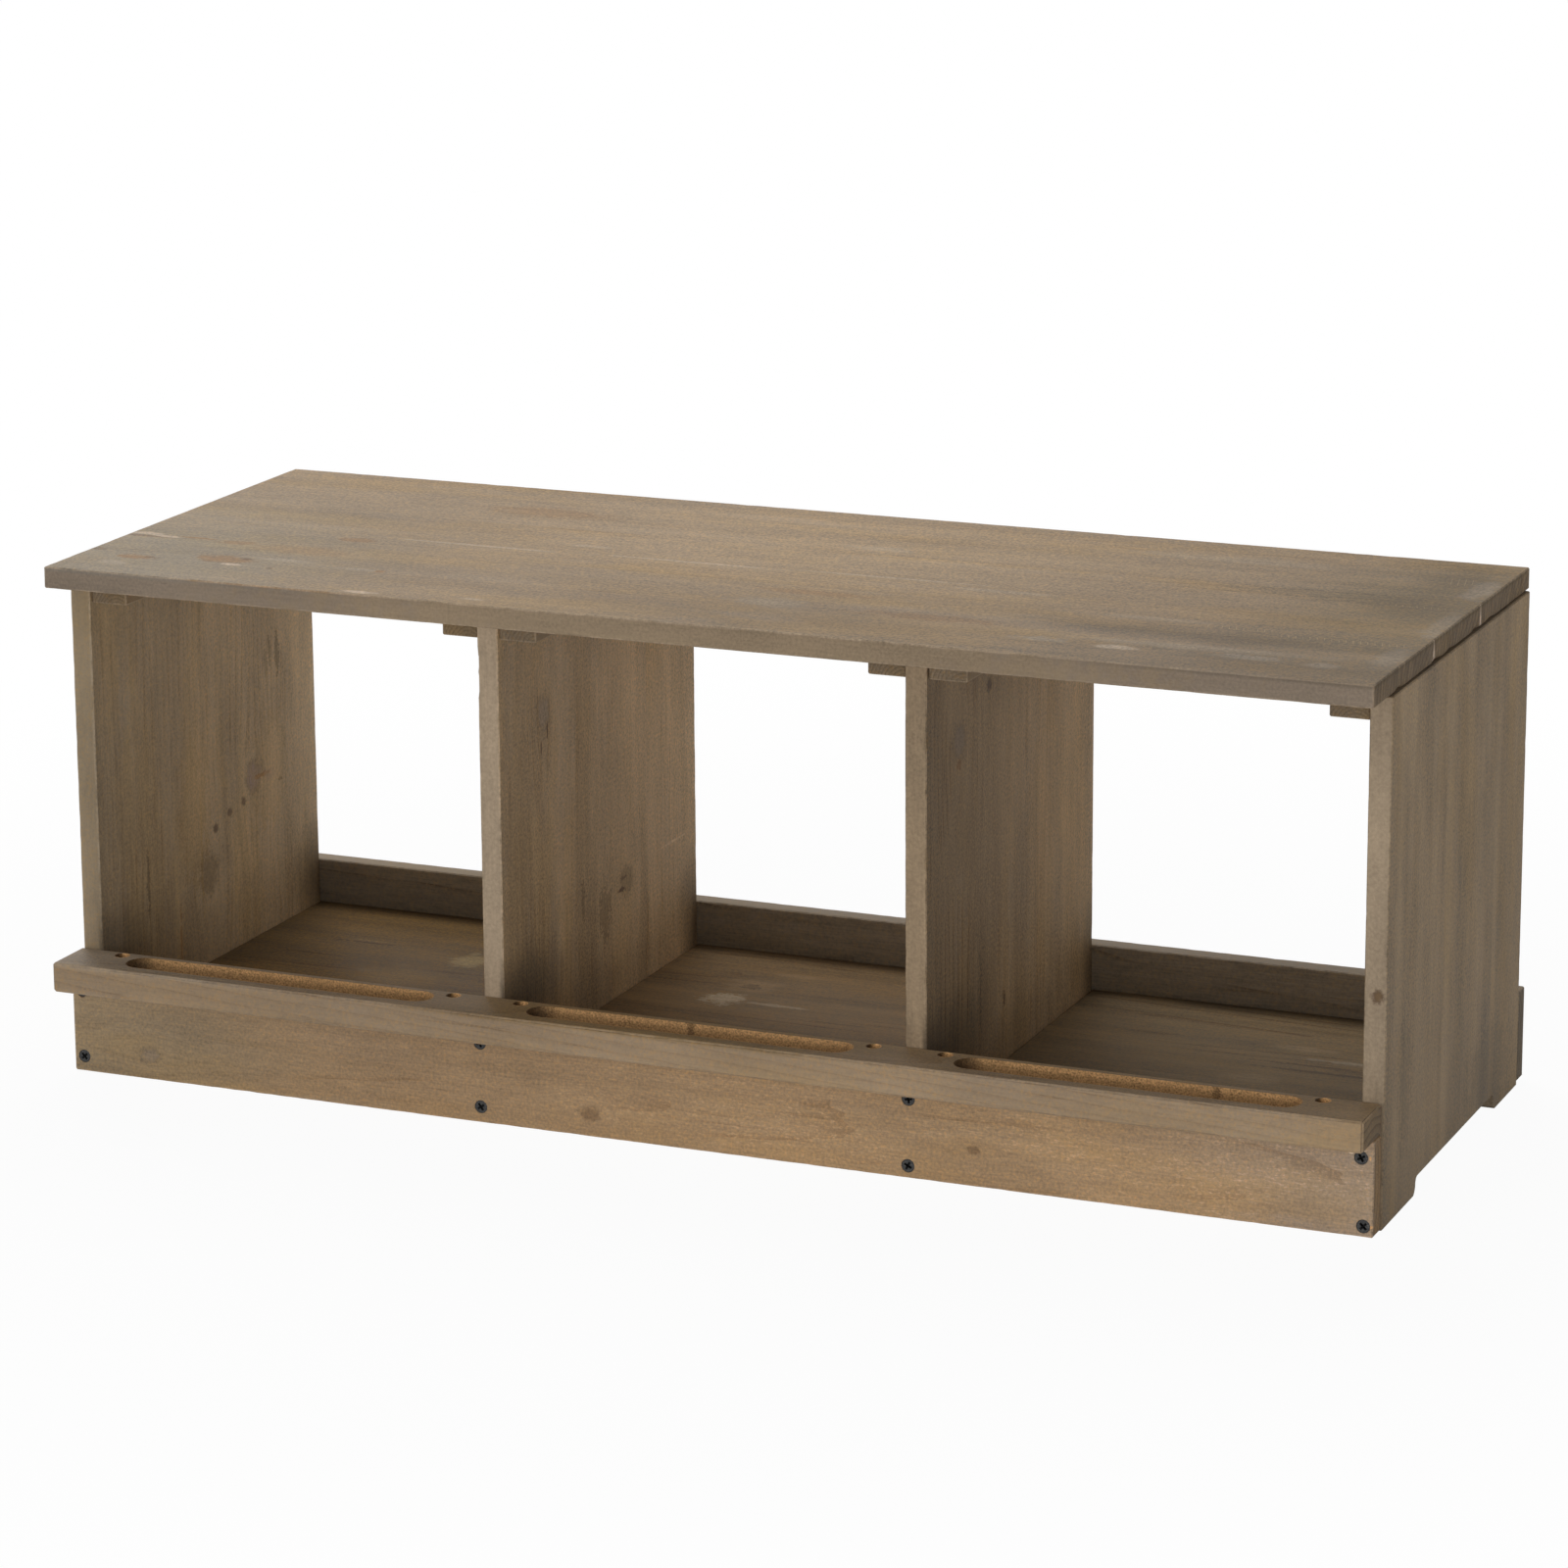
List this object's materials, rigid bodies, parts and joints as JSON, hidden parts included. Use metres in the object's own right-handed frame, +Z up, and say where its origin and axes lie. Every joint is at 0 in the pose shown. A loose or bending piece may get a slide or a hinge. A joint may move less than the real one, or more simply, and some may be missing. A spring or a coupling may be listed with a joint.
{
  "type": "chicken nesting box",
  "caption": "Row of open-front wooden nesting bays under one overhanging top panel, with a screwed front board, a slotted perch rail and a low back rail.",
  "frame": {"origin": "on the ground, under the middle of the overall width and depth", "axes": "+X along the row of bays to the right as seen from the front, +Y to the back, +Z up"},
  "size_m": [0.9506, 0.3818, 0.3673],
  "materials": {
    "stained_top": "grey-brown stain on softwood",
    "stained_upright": "grey-brown stain on softwood",
    "stained_front": "grey-brown stain on softwood",
    "stained_floor": "grey-brown stain on softwood",
    "stained_batten": "grey-brown stain on softwood",
    "black_steel": "black satin"
  },
  "bodies": {
    "root": {"top_panel": "stained_top", "left_side_panel": "stained_upright", "right_side_panel": "stained_upright", "left_divider": "stained_upright", "right_divider": "stained_upright", "back_rail": "stained_upright", "front_board": "stained_front", "perch_rail": "stained_front", "left_floor": "stained_floor", "middle_floor": "stained_floor", "right_floor": "stained_floor", "left_bay_left_batten": "stained_batten", "left_bay_right_batten": "stained_batten", "middle_bay_left_batten": "stained_batten", "middle_bay_right_batten": "stained_batten", "right_bay_left_batten": "stained_batten", "right_bay_right_batten": "stained_batten", "left_floor_front_cleat": "stained_batten", "left_floor_back_cleat": "stained_batten", "middle_floor_front_cleat": "stained_batten", "middle_floor_back_cleat": "stained_batten", "right_floor_front_cleat": "stained_batten", "right_floor_back_cleat": "stained_batten", "front_screw_1_lower": "black_steel", "front_screw_1_upper": "black_steel", "front_screw_2_lower": "black_steel", "front_screw_2_upper": "black_steel", "front_screw_3_lower": "black_steel", "front_screw_3_upper": "black_steel", "front_screw_4_lower": "black_steel", "front_screw_4_upper": "black_steel", "back_screw_1_lower": "black_steel", "back_screw_1_upper": "black_steel", "back_screw_2_lower": "black_steel", "back_screw_2_upper": "black_steel", "back_screw_3_lower": "black_steel", "back_screw_3_upper": "black_steel", "back_screw_4_lower": "black_steel", "back_screw_4_upper": "black_steel", "perch_screw_left_left": "black_steel", "perch_screw_left_right": "black_steel", "perch_screw_middle_left": "black_steel", "perch_screw_middle_right": "black_steel", "perch_screw_right_left": "black_steel", "perch_screw_right_right": "black_steel", "left_bay_left_batten_screw_1": "black_steel", "left_bay_left_batten_screw_2": "black_steel", "left_bay_right_batten_screw_1": "black_steel", "left_bay_right_batten_screw_2": "black_steel", "middle_bay_left_batten_screw_1": "black_steel", "middle_bay_left_batten_screw_2": "black_steel", "middle_bay_right_batten_screw_1": "black_steel", "middle_bay_right_batten_screw_2": "black_steel", "right_bay_left_batten_screw_1": "black_steel", "right_bay_left_batten_screw_2": "black_steel", "right_bay_right_batten_screw_1": "black_steel", "right_bay_right_batten_screw_2": "black_steel"}
  },
  "joints": []
}
